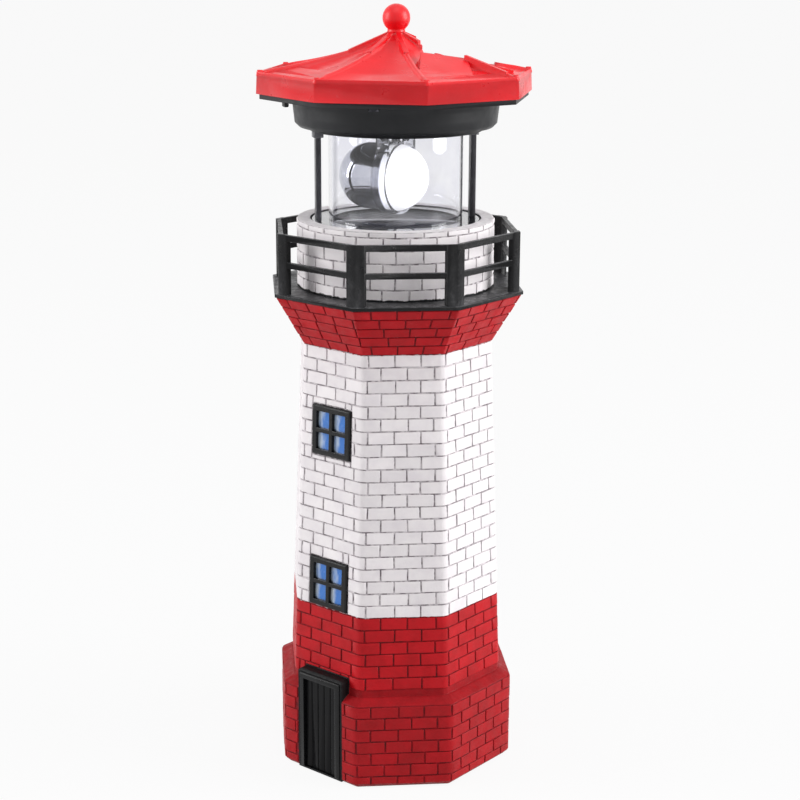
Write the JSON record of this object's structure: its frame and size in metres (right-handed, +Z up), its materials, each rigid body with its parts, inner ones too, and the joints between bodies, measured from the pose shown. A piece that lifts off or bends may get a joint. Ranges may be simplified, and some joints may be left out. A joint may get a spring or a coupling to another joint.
{
  "type": "garden lighthouse ornament",
  "caption": "Octagonal brick lighthouse ornament with a railed gallery, door and windows, and a lift-out solar lantern whose beacon lamp turns inside a clear tube.",
  "frame": {"origin": "centre of the underside, on the tower's axis", "axes": "+Z up the tower, -Y out of the face with the door and windows, +X to the right of the door seen from outside"},
  "size_m": [0.1276, 0.1276, 0.36],
  "materials": {
    "brick_casting": "hand-painted cast resin brick, white shaft between dark red bands, grey-washed joints",
    "black_trim": "black semi-gloss hand-painted moulding",
    "window_pane": "blue painted pane, satin",
    "lantern_black": "glossy near-black moulded plastic",
    "housing_plastic": "dark charcoal moulded plastic",
    "clear_plastic": "clear moulded tube",
    "post_plastic": "pale grey plastic",
    "roof_red": "scarlet gloss painted plastic",
    "screw_steel": "zinc-plated steel",
    "panel_board": "white glass-fibre backing board",
    "cell_blue": "dark blue solar cell with silver fingers",
    "panel_cover": "clear resin cover",
    "seal_foam": "black foam seal",
    "battery_sleeve": "plain green shrink sleeve with bare steel ends",
    "holder_plastic": "black moulded plastic",
    "contact_steel": "nickel-plated spring steel",
    "gear_white": "natural white acetal",
    "axle_steel": "ground steel",
    "motor_can": "plated steel can",
    "plate_plastic": "white moulded plate",
    "board_green": "green circuit board",
    "chip_black": "black moulded chip",
    "coil_ferrite": "dark ferrite spool with copper winding",
    "capacitor_can": "sleeved aluminium can",
    "knob_black": "black plastic knob",
    "reflector_chrome": "vacuum-metallised plastic",
    "lens_clear": "clear domed lens, lit from inside",
    "yoke_clear": "clear moulded plastic",
    "led_epoxy": "water-clear lamp with a warm white glow",
    "stem_plastic": "white plastic tube",
    "lead_tin": "tinned wire"
  },
  "bodies": {
    "tower": {"tower_casting": "brick_casting", "gallery_railing": "black_trim", "door_frame": "black_trim", "door_leaf": "black_trim", "upper_window_frame": "black_trim", "upper_window_glazing": "window_pane", "lower_window_frame": "black_trim", "lower_window_glazing": "window_pane"},
    "floor_disc": {"lantern_floor": "lantern_black"},
    "lantern": {"clear_tube": "clear_plastic", "lantern_posts": "post_plastic", "mechanism_housing": "housing_plastic", "housing_screws": "screw_steel", "slide_switch": "holder_plastic", "roof_shell": "roof_red", "roof_finial": "roof_red", "solar_panel_board": "panel_board", "solar_cells": "cell_blue", "solar_panel_cover": "panel_cover", "solar_panel_seal": "seal_foam", "battery_cell": "battery_sleeve", "battery_holder": "holder_plastic", "battery_contact_plus": "contact_steel", "battery_contact_minus": "contact_steel", "idler_axle": "axle_steel", "geared_motor": "motor_can", "thrust_washer": "gear_white", "gear_plate": "plate_plastic", "gear_plate_screws": "screw_steel", "circuit_board": "board_green", "driver_chip": "chip_black", "driver_coil": "coil_ferrite", "driver_capacitor": "capacitor_can", "led_stem": "stem_plastic", "led_lamp": "led_epoxy", "led_leads": "lead_tin"},
    "switch": {"switch_knob": "knob_black"},
    "motor_rotor": {"motor_shaft": "axle_steel", "motor_pinion": "gear_white"},
    "idler": {"idler_gear": "gear_white"},
    "beacon": {"drive_gear": "gear_white", "beacon_yoke": "yoke_clear", "reflector": "reflector_chrome", "beacon_lens": "lens_clear"}
  },
  "joints": [
    {"name": "lantern_lift", "type": "slide", "parent": "tower", "child": "floor_disc", "axis": [0, 0, 1], "range_m": [0, 0.03]},
    {"name": "lantern_turn", "type": "hinge", "parent": "floor_disc", "child": "lantern", "pos_m": [0, 0, 0.26], "axis": [0, 0, 1], "continuous": true},
    {"name": "beacon_turn", "type": "hinge", "parent": "lantern", "child": "beacon", "pos_m": [0, 0, 0.2816], "axis": [0, 0, 1], "continuous": true},
    {"name": "idler_turn", "type": "hinge", "parent": "lantern", "child": "idler", "pos_m": [-0.00299, 0.01409, 0.311], "axis": [0, 0, 1], "continuous": true},
    {"name": "pinion_turn", "type": "hinge", "parent": "lantern", "child": "motor_rotor", "pos_m": [0.0009, 0.02607, 0.313], "axis": [0, 0, 1], "continuous": true},
    {"name": "switch_slide", "type": "slide", "parent": "lantern", "child": "switch", "axis": [0.9063, -0.4226, 0], "range_m": [0, 0.0025]}
  ],
  "couplings": [
    {"joint": "idler_turn", "follows": "beacon_turn", "ratio": -3},
    {"joint": "pinion_turn", "follows": "beacon_turn", "ratio": 7.5}
  ]
}
